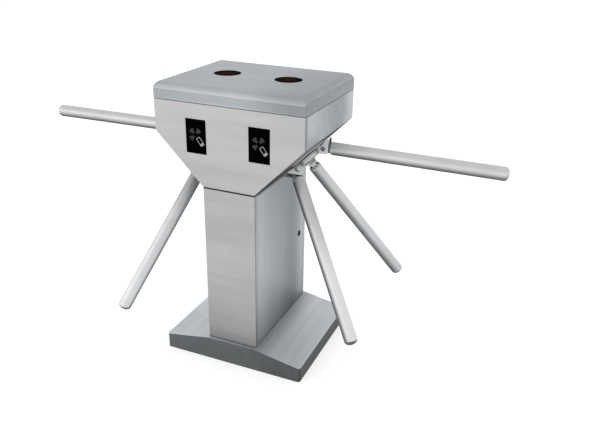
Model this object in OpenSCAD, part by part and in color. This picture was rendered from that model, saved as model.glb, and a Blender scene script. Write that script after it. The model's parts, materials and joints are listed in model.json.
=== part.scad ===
// Twin tripod turnstile: a steel cabinet on a column, with a drop-arm tripod on each side.
// Millimetres, +Z up, +X towards the right-hand tripod, +Y away from the card windows.
// The origin is the middle of the plinth on the floor.

/* [Cabinet] */
// Height from the floor to the top of the lid
total_h = 980; // [960:1:1050]
// Width of the cabinet head across the two tripods
head_w = 522; // [500:1:560]
// Depth of the cabinet head from front to back
head_d = 426; // [410:1:460]
// Height of the upright head sides, from the bend to the lid seam
head_side_h = 101; // [90:1:120]
// Height of the lid, from the seam to its top
lid_h = 54; // [48:1:60]
// Radius of the rolled upper edges of the lid
lid_edge_r = 16; // [8:1:20]
// Bend radius of the upright head corners
head_corner_r = 6; // [4:1:10]
// Thickness of the head, column and lid sheet
sheet_t = 2; // [1.5:0.1:2.5]
// Gap at the lid seam
lid_gap = 2.4; // [1.5:0.1:3]

/* [Column] */
// Width of the column across the two tripods
column_w = 184; // [170:1:196]
// How far the column stands back from the head's front and back faces
column_step = 2; // [1:0.5:6]
// Width of the fixed strip beside the service panel
panel_stile = 17; // [14:1:24]
// Gap round the service panel
panel_gap = 2; // [1:0.1:3]

/* [Plinth] */
// Width of the plinth across the two tripods
plinth_w = 526; // [500:1:560]
// Depth of the plinth from front to back
plinth_d = 446; // [440:1:480]
// Height of the plinth's outer edges
plinth_edge_h = 54; // [40:1:60]
// Height of the plinth where it meets the column
plinth_ridge_h = 84; // [76:1:90]
// Bend radius of the plinth's upright corners
plinth_corner_r = 10; // [6:1:16]
// Thickness of the plinth cover
plinth_t = 3; // [2:0.5:4]
// Thickness of the floor plate
base_plate_t = 6; // [5:1:10]
// Hole-to-hole distance of the floor bolts across the width
anchor_x = 120; // [100:1:130]
// Hole-to-hole distance of the floor bolts across the depth
anchor_y = 340; // [300:1:350]
// Diameter of the floor bolt holes
anchor_hole_d = 14; // [11:0.5:18]
// Diameter of the cable way through the floor plate
cable_hole_d = 60; // [50:1:70]

/* [Tripods] */
// Distance of the arm pivots from the hub axis
pivot_radius = 70; // [66:1:76]
// Distance of the arm pivots from the slanted head face
pivot_standoff = 22; // [21:0.5:25]
// Length of an arm from its pivot to its tip
arm_reach = 582; // [520:1:586]
// Diameter of the arm tubes
arm_d = 42.4; // [38:0.1:43]
// Wall thickness of the arm tubes
arm_wall = 1.5; // [1:0.1:2.5]
// Diameter of the hub drum
hub_drum_d = 104; // [98:1:106]
// Diameter of the fixed cover ring behind the hub
cover_ring_d = 176; // [150:1:180]
// Thickness of the fixed cover ring
cover_ring_t = 6; // [4:0.5:6.5]
// Diameter of the hub shaft
shaft_d = 25; // [20:1:28]
// Diameter of the arm pivot pins
pivot_d = 12; // [10:0.5:13]
// Angle by which a free lower arm hangs below its latched place
hang_angle = 20.6; // [15:0.1:22]
// Turn of the left tripod within the play of its notch
left_turn = 2; // [0:0.1:3]

/* [Windows and lights] */
// Distance of each card window's middle from the middle of the head
window_x = 110; // [95:1:125]
// Width of a card window
window_w = 72; // [60:1:80]
// Height of a card window
window_h = 111; // [90:1:120]
// Distance from the bottom of a card window down to the head bend
window_below_bend = 60; // [40:1:70]
// Diameter of the indicator lenses in the lid
lens_d = 90; // [70:1:100]
// Distance of each indicator lens from the middle of the lid
lens_x = 110; // [90:1:130]

/* [Mechanism] */
// Diameter of the six-notch lock wheel
lock_wheel_d = 96; // [88:1:96]
// Thickness of the lock wheel
lock_wheel_t = 10; // [8:1:12]
// Height of the key lock above the floor
key_lock_z = 371; // [200:1:560]
// Distance of the key lock from the column's rear edge
key_lock_in = 55; // [41:1:90]

/* [Hidden] */
$fn = 48;
right = 1;
left = -1;
sides = [left, right];

// Overrun of every cut past the face that it opens
cut_over = 1;
// Running clearance of pins and shafts, on the radius
run_fit = 0.05;
// Gap between moving faces that pass each other
side_gap = 0.4;
// Gap between fitted plates and their openings
plate_gap = 0.5;

// Heights of the cabinet, from the top down
seam_z = total_h - lid_h;
lid_bottom_z = seam_z + lid_gap / 2;
head_top_z = seam_z - lid_gap / 2;
bend_z = seam_z - head_side_h;
taper_run = (head_w - column_w) / 2;
head_bottom_z = bend_z - taper_run;

// Hub centre on the slanted face, which lies at 45 degrees
hub_tilt = 135;
hub_x = (head_w + column_w) / 4;
hub_z = bend_z - taper_run / 2;
barrier_cone = 45;
arm_count = 3;
arm_step = 360 / arm_count;

// Outline of the head seen from the front, drawn in by an inset and cut at a top height
function head_outline(inset, top_z) = let(
        corner_inset = inset * (sqrt(2) - 1),
        half_w = head_w / 2 - inset,
        half_c = column_w / 2 - corner_inset
    ) [
        [-half_w, top_z],
        [-half_w, bend_z + corner_inset],
        [-half_c, head_bottom_z + inset],
        [half_c, head_bottom_z + inset],
        [half_w, bend_z + corner_inset],
        [half_w, top_z]];

module rounded_plan(w, d, r, h) {
    linear_extrude(h) union() {
        square([w - 2 * r, d], center = true);
        square([w, d - 2 * r], center = true);
        for (x = [-1, 1], y = [-1, 1])
            translate([x * (w / 2 - r), y * (d / 2 - r)]) circle(r);
    }
}

// Turn of a tripod at rest about its hub axis
function rotor_turn(side) = side < 0 ? left_turn : 0;

// A flat profile in X and Z, extruded along Y about the middle
module along_y(depth) {
    translate([0, depth / 2, 0]) rotate([90, 0, 0]) linear_extrude(depth) children();
}

// A flat profile in Y and Z, extruded along X about the middle
module along_x(width) {
    translate([-width / 2, 0, 0]) rotate([90, 0, 90]) linear_extrude(width) children();
}

// A side profile with its two upper corners rounded
module crowned_profile(w, h, r) {
    union() {
        translate([-w / 2, 0]) square([w, h - r]);
        translate([-w / 2 + r, 0]) square([w - 2 * r, h]);
        for (x = [-1, 1]) translate([x * (w / 2 - r), h - r]) circle(r);
    }
}

// Places its children at a hub centre: local Z points out of the slanted face, local X up the slope
module at_hub(side) {
    mirror([side < 0 ? 1 : 0, 0, 0]) translate([hub_x, 0, hub_z])
        rotate([0, hub_tilt, 0]) rotate([0, 0, 180]) children();
}

// Head and column pieces
rim_ledge = 9;
rim_t = 2;
rim_h = 10;
column_d = head_d - 2 * column_step;
column_h = head_bottom_z - plinth_ridge_h;
floor_opening_w = column_w - 2 * (sheet_t + rim_ledge);
floor_opening_d = column_d - 2 * (sheet_t + rim_ledge);
hub_neck_wall = 12.5;
neck_gap = 4;
hub_neck_d = shaft_d + 2 * hub_neck_wall;
neck_hole_d = hub_neck_d + 2 * neck_gap;
window_gap = 0.3;
window_z = bend_z - window_below_bend;
ring_screws = 4;
ring_screw_r = 80;
ring_screw_d = 6;
ring_screw_head_d = 11;
ring_screw_head_h = 4;
screw_gap = 0.2;

// Service panel and its key lock
key_lock_y = column_d / 2 - key_lock_in;
panel_end_strip = 8;
panel_rest = 9;
panel_z = plinth_ridge_h + panel_end_strip + panel_gap;
panel_h = column_h - 2 * (panel_end_strip + panel_gap);
panel_d = column_d - 2 * (panel_stile + panel_gap);
barrel_d = 19;
barrel_l = 20;
barrel_flange_d = 22;
barrel_flange_t = 1.2;
plug_d = 14;
key_slot_l = 9;
key_slot_w = 2.4;
key_slot_deep = 3;
cam_t = 2.5;
cam_w = 16;
cam_hold = 6;
cam_back = barrel_l + side_gap + cam_t;
cam_l = panel_d / 2 - key_lock_y + cam_hold;

// Floor pieces
plinth_inner_r = plinth_corner_r - plinth_t;
gland_rise = 10;
gland_lip_t = 3;
gland_wall = 6;

// Card windows
window_proud = 0.8;
reader_lip = 6;
reader_lip_t = 3;
reader_box_d = 22;
plug_w = 14;
plug_l = 9;

// Lid pieces
lens_lip = 4;
light_cup_h = 16;
board_t = 1.6;
led_d = 8;
led_h = 6;
led_ring_r = 26;
led_count = 8;
latch_d = 10;
latch_drop = 24;
latch_in = 22;
latch_z = head_top_z - latch_drop;
latch_y = -head_d / 2 + latch_in;
keeper_x = 14;
keeper_t = 3;
keeper_w = 20;
latch_tip_x = 20;
latch_l = 72;
latch_knob_x = 60;
latch_knob_d = 8;
latch_knob_l = 16;
guide_w = 8;
guide_x = [28, 68];
guide_h = 18;

// Hinges at the back of the lid
hinge_x = 150;
hinge_w = 70;
hinge_leaf_h = 26;
hinge_leaf_t = 2;
knuckle_r = 4.5;
knuckle_w = 20;
hinge_pin_d = 5;
hinge_y = head_d / 2 + knuckle_r + side_gap;
rivet_d = 7;
rivet_h = 1.6;
rivet_step = 22;

// Hub pieces
drum_back = 9;
drum_front = 24;
fork_step = 0.6;
fork_back = drum_back + fork_step;
hub_neck_back = -4;
slot_gap = 0.4;
tongue_t = 16;
slot_half = tongue_t / 2 + slot_gap;
slot_reach = 27;
web_top = 22;
web_reach = 30;
tongue_r = 15;
cheek_t = 9;
cheek_out = 18;
cheek_in = 21;
cheek_down = 18;
cheek_up = 60;
cheek_corner_r = 12;
pin_head_rim = 1.5;
pin_head_d = pivot_d + 2 * pin_head_rim;
pin_head_h = 6;
pin_socket_rim = 2;
pin_socket_d = pivot_d + 2 * pin_socket_rim;
pin_socket_deep = 5;
pin_key_d = 6;
nut_d = 27.7;
nut_h = 9;
washer_d = 36;
washer_t = 2.5;

// Arm pieces, measured from the pivot along the arm
root_face = 21.5;
root_cone_l = 6;
root_cone_in = 4.2;
root_neck_d = arm_d - 2 * root_cone_in;
root_end = 34;
spigot_end = 62;
spigot_gap = 0.1;
tip_dome_h = 6;
tip_shoulder = 1;
tip_wall = 3;
tip_dome_r = (pow(arm_d / 2 - tip_shoulder, 2) + pow(tip_dome_h, 2)) / (2 * tip_dome_h);

// Mechanism pieces, measured from the slanted face inwards
frame_plate_t = 6;
frame_plate_w = 150;
frame_plate_l = 290;
frame_post_d = 14;
frame_post_x = 62;
frame_post_y = 128;
housing_flange_d = 100;
housing_flange_t = 8;
bearing_ring = 11;
bearing_d = shaft_d + 2 * bearing_ring;
housing_wall = 8.5;
housing_d = bearing_d + 2 * housing_wall;
housing_l = 62;
housing_bore_gap = 4.5;
housing_bore_d = shaft_d + 2 * housing_bore_gap;
bearing_w = 12;
bearing_race_t = 3;
bearing_shield_in = 1;
carrier_depth = 98;
carrier_hole_d = 60;
wheel_depth = 112;
wheel_boss_wall = 9.5;
wheel_boss_d = shaft_d + 2 * wheel_boss_wall;
wheel_boss_h = 6;
notch_count = 6;
notch_w = 16;
notch_deep = 8;
post_d = 8;
pawl_pivot_x = -48;
pawl_pivot_out = 10;
pawl_pivot_y = -(lock_wheel_d / 2 + pawl_pivot_out);
pawl_below = 8;
pawl_above = 1.5;
pawl_eye_d = 18;
pawl_tooth_w = 8;
pawl_rim_gap = 1.2;
pawl_free_x = 34;
plunger_x = 22;
plunger_d = 10;
plunger_gap = 0.5;
solenoid_w = 34;
solenoid_l = 50;
plunger_axis_depth = wheel_depth + lock_wheel_t / 2 - carrier_depth - frame_plate_t;
solenoid_h = 2 * plunger_axis_depth;
plunger_stroke_room = 4;
solenoid_gap = 19;
solenoid_y = pawl_pivot_y - pawl_below - solenoid_gap - solenoid_l;
solenoid_cap_t = 4;
plunger_deep = 36;
roller_r = 9;
roller_gap = 0.4;
lever_pivot_x = -48;
lever_pivot_out = 16;
lever_pivot_y = lock_wheel_d / 2 + lever_pivot_out;
lever_t = 6;
lever_w = 12;
lever_gap = 2;
lever_eye_d = 18;
lever_end_d = 16;
roller_y = lock_wheel_d / 2 + roller_r + roller_gap;
lever_turn = atan2(roller_y - lever_pivot_y, -lever_pivot_x);
lever_span = sqrt(pow(roller_y - lever_pivot_y, 2) + pow(lever_pivot_x, 2));
spring_d = 17;
spring_wall = 3;
lever_depth = wheel_depth + lock_wheel_t + lever_gap;
spring_depth = lever_depth - side_gap;
damper_bridge_depth = 140;
damper_bridge_t = 4;
damper_depth = damper_bridge_depth + damper_bridge_t;
damper_bridge_w = 32;
damper_post_x = 62;
damper_wall = 12.5;
damper_d = shaft_d + 2 * damper_wall;
damper_l = 24;
damper_cap_d = 30;
damper_cap_h = 4;
shaft_end = 150;
sensor_w = 16;
sensor_l = 22;
sensor_wall = 4;
sensor_reach = 8;
sensor_turn = 60;
sensor_slot = lock_wheel_t + 2 * lever_gap;

// Boards in the column
control_w = 150;
control_h = 210;
control_z = 400;
control_y = 30;
supply_l = 160;
supply_w = 98;
supply_h = 42;
supply_z = 180;
standoff_d = 8;
standoff_l = 12;
chip_h = 9;
relay_count = 4;
relay_pitch = 34;
relay_w = 16;
relay_l = 28;
relay_h = 16;
vent_count = 7;
vent_w = 5;
vent_edge = 12;
vent_deep = 2;
terminal_h = 10;
leaf_y = -knuckle_r - side_gap;
knuckle_half = hinge_w / 2 - knuckle_w;

// A ring that follows the cabinet wall between two insets from the head's faces
module wall_ring(outer_inset, inner_inset, h) {
    difference() {
        translate([-head_w / 2 + outer_inset, -head_d / 2 + outer_inset, 0])
            cube([head_w - 2 * outer_inset, head_d - 2 * outer_inset, h]);
        translate([-head_w / 2 + inner_inset, -head_d / 2 + inner_inset, -cut_over])
            cube([head_w - 2 * inner_inset, head_d - 2 * inner_inset, h + 2 * cut_over]);
    }
}

module ring_screw_places() {
    for (i = [0:ring_screws - 1])
        rotate([0, 0, (i + 1 / 2) * 360 / ring_screws]) translate([ring_screw_r, 0, 0]) children();
}

module head_shell() color("silver") union() {
    difference() {
        intersection() {
            along_y(head_d) polygon(head_outline(0, head_top_z));
            rounded_plan(head_w, head_d, head_corner_r, total_h);
        }
        intersection() {
            along_y(head_d - 2 * sheet_t) polygon(head_outline(sheet_t, total_h));
            rounded_plan(head_w - 2 * sheet_t, head_d - 2 * sheet_t, head_corner_r - sheet_t, total_h);
        }
        translate([-floor_opening_w / 2, -floor_opening_d / 2, head_bottom_z - cut_over])
            cube([floor_opening_w, floor_opening_d, sheet_t + 2 * cut_over]);
        for (s = sides) {
            at_hub(s) translate([0, 0, -sheet_t - cut_over])
                cylinder(h = sheet_t + 2 * cut_over, d = neck_hole_d);
            at_hub(s) ring_screw_places() translate([0, 0, -sheet_t - cut_over])
                cylinder(h = sheet_t + 2 * cut_over, d = ring_screw_d + 2 * screw_gap);
            translate([s * window_x, -head_d / 2 - cut_over, window_z - window_gap])
                translate([-window_w / 2 - window_gap, 0, 0])
                    cube([window_w + 2 * window_gap, sheet_t + 2 * cut_over, window_h + 2 * window_gap]);
        }
    }
    // Ledge and upstand that the lid closes over
    translate([0, 0, head_top_z - sheet_t]) wall_ring(sheet_t, rim_ledge, sheet_t);
    translate([0, 0, head_top_z]) wall_ring(rim_ledge - rim_t, rim_ledge, rim_h);
}

module column_shell() color("silver") union() {
    difference() {
        translate([-column_w / 2, -column_d / 2, plinth_ridge_h]) cube([column_w, column_d, column_h]);
        translate([-column_w / 2 + sheet_t, -column_d / 2 + sheet_t, plinth_ridge_h - cut_over])
            cube([column_w - 2 * sheet_t, column_d - 2 * sheet_t, column_h + 2 * cut_over]);
        translate([0, -panel_d / 2 - panel_gap, panel_z - panel_gap])
            cube([column_w, panel_d + 2 * panel_gap, panel_h + 2 * panel_gap]);
    }
    // Strip behind the opening that the service panel rests against
    translate([column_w / 2 - 2 * sheet_t, 0, 0]) difference() {
        translate([0, -panel_d / 2 - panel_rest, panel_z - panel_rest])
            cube([sheet_t, panel_d + 2 * panel_rest, panel_h + 2 * panel_rest]);
        translate([-cut_over, -panel_d / 2 + panel_rest, panel_z + panel_rest])
            cube([sheet_t + 2 * cut_over, panel_d - 2 * panel_rest, panel_h - 2 * panel_rest]);
    }
    // Flanges that carry the head and stand on the plinth
    for (z = [plinth_ridge_h, head_bottom_z - sheet_t]) translate([0, 0, z]) difference() {
        translate([-column_w / 2 + sheet_t, -column_d / 2 + sheet_t, 0])
            cube([column_w - 2 * sheet_t, column_d - 2 * sheet_t, sheet_t]);
        translate([-floor_opening_w / 2, -floor_opening_d / 2, -cut_over])
            cube([floor_opening_w, floor_opening_d, sheet_t + 2 * cut_over]);
    }
}

module service_panel() color("silver") difference() {
    translate([column_w / 2 - sheet_t, -panel_d / 2, panel_z]) cube([sheet_t, panel_d, panel_h]);
    translate([column_w / 2 - sheet_t - cut_over, key_lock_y, key_lock_z]) rotate([0, 90, 0])
        cylinder(h = sheet_t + 2 * cut_over, d = barrel_d + 2 * screw_gap);
}

// Places its children at the key lock: local Z points out of the column's right side
module at_lock() {
    translate([column_w / 2, key_lock_y, key_lock_z]) rotate([0, 90, 0]) children();
}

module lock_barrel() color("dimgray") at_lock() difference() {
    union() {
        translate([0, 0, -barrel_l]) cylinder(h = barrel_l, d = barrel_d);
        cylinder(h = barrel_flange_t, d = barrel_flange_d);
    }
    translate([0, 0, -barrel_l - cut_over])
        cylinder(h = barrel_l + barrel_flange_t + 2 * cut_over, d = plug_d + 2 * run_fit);
}

module lock_plug() color("black") at_lock() difference() {
    translate([0, 0, -cam_back]) cylinder(h = cam_back + barrel_flange_t, d = plug_d);
    translate([-key_slot_l / 2, -key_slot_w / 2, barrel_flange_t - key_slot_deep])
        cube([key_slot_l, key_slot_w, key_slot_deep + cut_over]);
}

// Cranked cam that hooks behind the rest strip of the column
module lock_cam() color("gray") at_lock() difference() {
    union() {
        translate([-cam_w / 2, 0, -cam_back]) cube([cam_w, cam_l, cam_t]);
        translate([0, 0, -cam_back]) cylinder(h = cam_t, d = cam_w);
        translate([-cam_w / 2, cam_l - cam_t, -cam_back])
            cube([cam_w, cam_t, cam_back - 2 * sheet_t - side_gap]);
    }
    translate([0, 0, -cam_back - cut_over]) cylinder(h = cam_t + 2 * cut_over, d = plug_d + 2 * run_fit);
}

// Outline of the plinth seen from the front, drawn in by an inset
function plinth_outline(inset, foot) = [
    [-plinth_w / 2 + inset, foot], [-plinth_w / 2 + inset, plinth_edge_h - inset],
    [-column_w / 2, plinth_ridge_h - inset], [column_w / 2, plinth_ridge_h - inset],
    [plinth_w / 2 - inset, plinth_edge_h - inset], [plinth_w / 2 - inset, foot]];

module plinth_cover() color("silver") difference() {
    intersection() {
        along_y(plinth_d) polygon(plinth_outline(0, 0));
        rounded_plan(plinth_w, plinth_d, plinth_corner_r, total_h);
    }
    intersection() {
        along_y(plinth_d - 2 * plinth_t) polygon(plinth_outline(plinth_t, -cut_over));
        translate([0, 0, -2 * cut_over])
            rounded_plan(plinth_w - 2 * plinth_t, plinth_d - 2 * plinth_t, plinth_inner_r, total_h);
    }
    translate([-floor_opening_w / 2, -floor_opening_d / 2, plinth_ridge_h - plinth_t - cut_over])
        cube([floor_opening_w, floor_opening_d, plinth_t + 2 * cut_over]);
}

module base_plate() color("gray") difference() {
    rounded_plan(plinth_w - 2 * plinth_t, plinth_d - 2 * plinth_t, plinth_inner_r, base_plate_t);
    for (x = [-1, 1], y = [-1, 1])
        translate([x * anchor_x / 2, y * anchor_y / 2, -cut_over])
            cylinder(h = base_plate_t + 2 * cut_over, d = anchor_hole_d);
    translate([0, 0, -cut_over]) cylinder(h = base_plate_t + 2 * cut_over, d = cable_hole_d);
}

module cable_gland() color("black") difference() {
    union() {
        cylinder(h = base_plate_t + gland_rise, d = cable_hole_d - 2 * screw_gap);
        translate([0, 0, base_plate_t]) cylinder(h = gland_lip_t, d = cable_hole_d + 2 * gland_wall);
    }
    translate([0, 0, -cut_over])
        cylinder(h = base_plate_t + gland_rise + 2 * cut_over, d = cable_hole_d - 2 * gland_wall);
}

// A card window: a glass panel with a bevelled front edge
module reader_window(side) color("black") translate([side * window_x, -head_d / 2, window_z])
    difference() {
        translate([-window_w / 2, -window_proud, 0]) cube([window_w, sheet_t + window_proud, window_h]);
        translate([0, -window_proud, 0]) for (x = [-1, 1])
            translate([x * window_w / 2, 0, -cut_over]) rotate([0, 0, 45])
                translate([-window_proud / 2, -window_proud / 2, 0])
                    cube([window_proud, window_proud, window_h + 2 * cut_over]);
    }

module reader_modules() color("dimgray") for (s = sides)
    translate([s * window_x, -head_d / 2 + sheet_t, window_z + window_h / 2]) {
        translate([-window_w / 2 - reader_lip, 0, -window_h / 2 - reader_lip])
            cube([window_w + 2 * reader_lip, reader_lip_t, window_h + 2 * reader_lip]);
        translate([-window_w / 2 + reader_lip, reader_lip_t, -window_h / 2 + reader_lip])
            cube([window_w - 2 * reader_lip, reader_box_d, window_h - 2 * reader_lip]);
        translate([-plug_w / 2, reader_lip_t + reader_box_d, -plug_w / 2])
            cube([plug_w, plug_l, plug_w]);
    }

// Lid pieces
module lid_crown(inset) {
    w = head_w - 2 * inset;
    d = head_d - 2 * inset;
    h = total_h - lid_bottom_z;
    r = lid_edge_r - inset;
    intersection() {
        translate([0, 0, lid_bottom_z]) along_y(d) crowned_profile(w, h - inset, r);
        translate([0, 0, lid_bottom_z]) along_x(w) crowned_profile(d, h - inset, r);
        translate([0, 0, lid_bottom_z]) rounded_plan(w, d, head_corner_r - inset, h);
    }
}

module lid_shell() color("lightgray") {
    difference() {
        lid_crown(0);
        lid_crown(sheet_t);
        translate([0, 0, lid_bottom_z - cut_over])
            rounded_plan(head_w - 2 * sheet_t, head_d - 2 * sheet_t, head_corner_r - sheet_t, 2 * cut_over);
        for (s = sides) translate([s * lens_x, 0, total_h - sheet_t - cut_over])
            cylinder(h = sheet_t + 2 * cut_over, d = lens_d + 2 * plate_gap);
    }
    // Keeper for the latch bolt, hanging behind the front skirt
    difference() {
        translate([keeper_x, latch_y - keeper_w / 2, latch_z - keeper_w / 2])
            cube([keeper_t, keeper_w, total_h - sheet_t - latch_z + keeper_w / 2]);
        translate([keeper_x - cut_over, latch_y, latch_z]) rotate([0, 90, 0])
            cylinder(h = keeper_t + 2 * cut_over, d = latch_d + 2 * plate_gap);
    }
}

module indicator_lens(side) color("black") translate([side * lens_x, 0, 0]) {
    translate([0, 0, total_h - sheet_t]) cylinder(h = sheet_t, d = lens_d);
    translate([0, 0, total_h - 2 * sheet_t]) cylinder(h = sheet_t, d = lens_d + 2 * lens_lip);
}

// Cup under each lens with its board and a ring of lamps
module light_boards() color("darkgreen") for (s = sides)
    translate([s * lens_x, 0, total_h - 2 * sheet_t - light_cup_h]) {
        difference() {
            cylinder(h = light_cup_h, d = lens_d + 2 * lens_lip);
            translate([0, 0, board_t]) cylinder(h = light_cup_h, d = lens_d - 2 * lens_lip);
        }
        for (i = [0:led_count - 1]) rotate([0, 0, i * 360 / led_count])
            translate([led_ring_r, 0, board_t]) cylinder(h = led_h, d = led_d);
    }

// Places its children at a lid hinge: local X runs along the hinge pin
module at_hinges() {
    for (x = [-1, 1]) translate([x * hinge_x, hinge_y, seam_z]) children();
}

module knuckle(x0, x1) {
    translate([x0, 0, 0]) rotate([0, 90, 0]) cylinder(h = x1 - x0, r = knuckle_r);
}

module rivet_row(z) {
    for (i = [-1, 0, 1]) translate([i * rivet_step, leaf_y + hinge_leaf_t, z]) rotate([-90, 0, 0])
        cylinder(h = rivet_h, d = rivet_d);
}

module lid_hinge_fixed_leaves() color("gray") at_hinges() union() {
    difference() {
        translate([-hinge_w / 2, leaf_y, -hinge_leaf_h]) cube([hinge_w, hinge_leaf_t, hinge_leaf_h]);
        translate([-knuckle_half - side_gap, leaf_y - cut_over, -knuckle_r - side_gap])
            cube([2 * (knuckle_half + side_gap), hinge_leaf_t + 2 * cut_over, hinge_leaf_h]);
    }
    knuckle(-hinge_w / 2, -knuckle_half - side_gap);
    knuckle(knuckle_half + side_gap, hinge_w / 2);
    translate([-hinge_w / 2, 0, 0]) rotate([0, 90, 0]) cylinder(h = hinge_w, d = hinge_pin_d);
    rivet_row(-hinge_leaf_h + rivet_d);
}

module lid_hinge_moving_leaves() color("gray") at_hinges() union() {
    difference() {
        union() {
            translate([-hinge_w / 2, leaf_y, 0]) cube([hinge_w, hinge_leaf_t, hinge_leaf_h]);
            knuckle(-knuckle_half, knuckle_half);
        }
        for (x = [-1, 1]) translate([x * (knuckle_half + hinge_w / 2) - hinge_w / 2, leaf_y, 0])
            translate([0, -cut_over, -cut_over])
                cube([hinge_w, hinge_leaf_t + 2 * cut_over, knuckle_r + side_gap + cut_over]);
        translate([-hinge_w / 2, 0, 0]) rotate([0, 90, 0])
            cylinder(h = hinge_w, d = hinge_pin_d + 2 * run_fit);
    }
    rivet_row(hinge_leaf_h - rivet_d);
}

// Sliding bolt that locks the lid from inside, drawn back
module latch_bolt() color("lightsteelblue") translate([latch_tip_x, latch_y, latch_z]) union() {
    rotate([0, 90, 0]) cylinder(h = latch_l, d = latch_d);
    translate([latch_knob_x - latch_tip_x, 0, 0]) rotate([-90, 0, 0])
        cylinder(h = latch_knob_l, d = latch_knob_d);
}

module latch_guides() color("dimgray") for (x = guide_x) translate([x, 0, latch_z]) difference() {
    translate([0, -head_d / 2 + sheet_t, -guide_h / 2])
        cube([guide_w, latch_y + head_d / 2 - sheet_t + guide_h / 2, guide_h]);
    translate([-cut_over, latch_y, 0]) rotate([0, 90, 0])
        cylinder(h = guide_w + 2 * cut_over, d = latch_d + 2 * run_fit);
}

// Control board on stand-offs, with its relays, chips and terminal strip
module control_board() color("darkgreen")
    translate([-column_w / 2 + sheet_t, control_y - control_w / 2, control_z]) {
        for (y = [standoff_d, control_w - standoff_d], z = [standoff_d, control_h - standoff_d])
            translate([0, y, z]) rotate([0, 90, 0]) cylinder(h = standoff_l, d = standoff_d);
        translate([standoff_l, 0, 0]) cube([board_t, control_w, control_h]);
        translate([standoff_l + board_t, 0, 0]) {
            for (i = [0:relay_count - 1])
                translate([0, relay_w / 2 + i * relay_pitch, control_h - relay_l - standoff_d])
                    cube([relay_h, relay_w, relay_l]);
            translate([0, control_w / 2 - relay_l / 2, control_h / 2 - relay_l / 2])
                cube([board_t, relay_l, relay_l]);
            translate([0, standoff_d, 0]) cube([chip_h, control_w - 2 * standoff_d, chip_h]);
        }
    }

module power_supply() color("silver") translate([-column_w / 2 + sheet_t, -supply_w / 2, supply_z]) {
    difference() {
        cube([supply_h, supply_w, supply_l]);
        for (i = [1:vent_count])
            translate([supply_h - vent_deep, vent_edge, supply_l * i / (vent_count + 1)])
                cube([vent_deep + cut_over, supply_w - 2 * vent_edge, vent_w]);
    }
    translate([0, vent_edge, supply_l]) cube([supply_h / 2, supply_w - 2 * vent_edge, terminal_h]);
}

// Mechanism frame: a main plate on the slanted sheet, posts and a carrier plate behind
module mechanism_frame(side) color("slategray") at_hub(side) {
    difference() {
        translate([-frame_plate_w / 2, -frame_plate_l / 2, -sheet_t - frame_plate_t])
            cube([frame_plate_w, frame_plate_l, frame_plate_t]);
        translate([0, 0, -sheet_t - frame_plate_t - cut_over])
            cylinder(h = frame_plate_t + 2 * cut_over, d = neck_hole_d);
        ring_screw_places() translate([0, 0, -sheet_t - frame_plate_t - cut_over])
            cylinder(h = frame_plate_t + 2 * cut_over, d = ring_screw_d + 2 * screw_gap);
    }
    // Carrier plate
    difference() {
        translate([-frame_plate_w / 2, -frame_plate_l / 2, -carrier_depth - frame_plate_t])
            cube([frame_plate_w, frame_plate_l, frame_plate_t]);
        translate([0, 0, -carrier_depth - frame_plate_t - cut_over])
            cylinder(h = frame_plate_t + 2 * cut_over, d = carrier_hole_d);
    }
    for (x = [-1, 1], y = [-1, 1])
        translate([x * frame_post_x, y * frame_post_y, -carrier_depth])
            cylinder(h = carrier_depth - sheet_t - frame_plate_t, d = frame_post_d);
    for (p = [[pawl_pivot_x, pawl_pivot_y], [lever_pivot_x, lever_pivot_y]])
        translate([p[0], p[1], -lever_depth - lever_t])
            cylinder(h = lever_depth + lever_t - carrier_depth - frame_plate_t, d = post_d);
}

module bearing_housing(side) color("dimgray") at_hub(side)
    translate([0, 0, -sheet_t - frame_plate_t]) difference() {
        union() {
            translate([0, 0, -housing_flange_t]) cylinder(h = housing_flange_t, d = housing_flange_d);
            translate([0, 0, -housing_l]) cylinder(h = housing_l, d = housing_d);
        }
        translate([0, 0, -housing_l - cut_over]) cylinder(h = housing_l + 2 * cut_over, d = housing_bore_d);
        for (z = [-bearing_w, -housing_l - cut_over]) translate([0, 0, z])
            cylinder(h = bearing_w + cut_over, d = bearing_d);
    }

// Ball bearings: two races with shields drawn in between them
module ball_bearing() {
    rotate_extrude() polygon([
        [shaft_d / 2 + run_fit, 0],
        [shaft_d / 2 + bearing_race_t, 0],
        [shaft_d / 2 + bearing_race_t, bearing_shield_in],
        [bearing_d / 2 - bearing_race_t, bearing_shield_in],
        [bearing_d / 2 - bearing_race_t, 0],
        [bearing_d / 2, 0],
        [bearing_d / 2, bearing_w],
        [bearing_d / 2 - bearing_race_t, bearing_w],
        [bearing_d / 2 - bearing_race_t, bearing_w - bearing_shield_in],
        [shaft_d / 2 + bearing_race_t, bearing_w - bearing_shield_in],
        [shaft_d / 2 + bearing_race_t, bearing_w],
        [shaft_d / 2 + run_fit, bearing_w]]);
}

module shaft_bearings() color("lightsteelblue") for (s = sides) at_hub(s)
    for (z = [-bearing_w, -housing_l])
        translate([0, 0, -sheet_t - frame_plate_t + z]) ball_bearing();

module cover_rings() color("silver") for (s = sides) at_hub(s) difference() {
    cylinder(h = cover_ring_t, d = cover_ring_d);
    translate([0, 0, -cut_over]) cylinder(h = cover_ring_t + 2 * cut_over, d = neck_hole_d);
    ring_screw_places() {
        translate([0, 0, -cut_over])
            cylinder(h = cover_ring_t + 2 * cut_over, d = ring_screw_d + 2 * screw_gap);
        translate([0, 0, cover_ring_t - ring_screw_head_h])
            cylinder(h = ring_screw_head_h + cut_over, d = ring_screw_head_d + 2 * screw_gap);
    }
}

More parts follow.
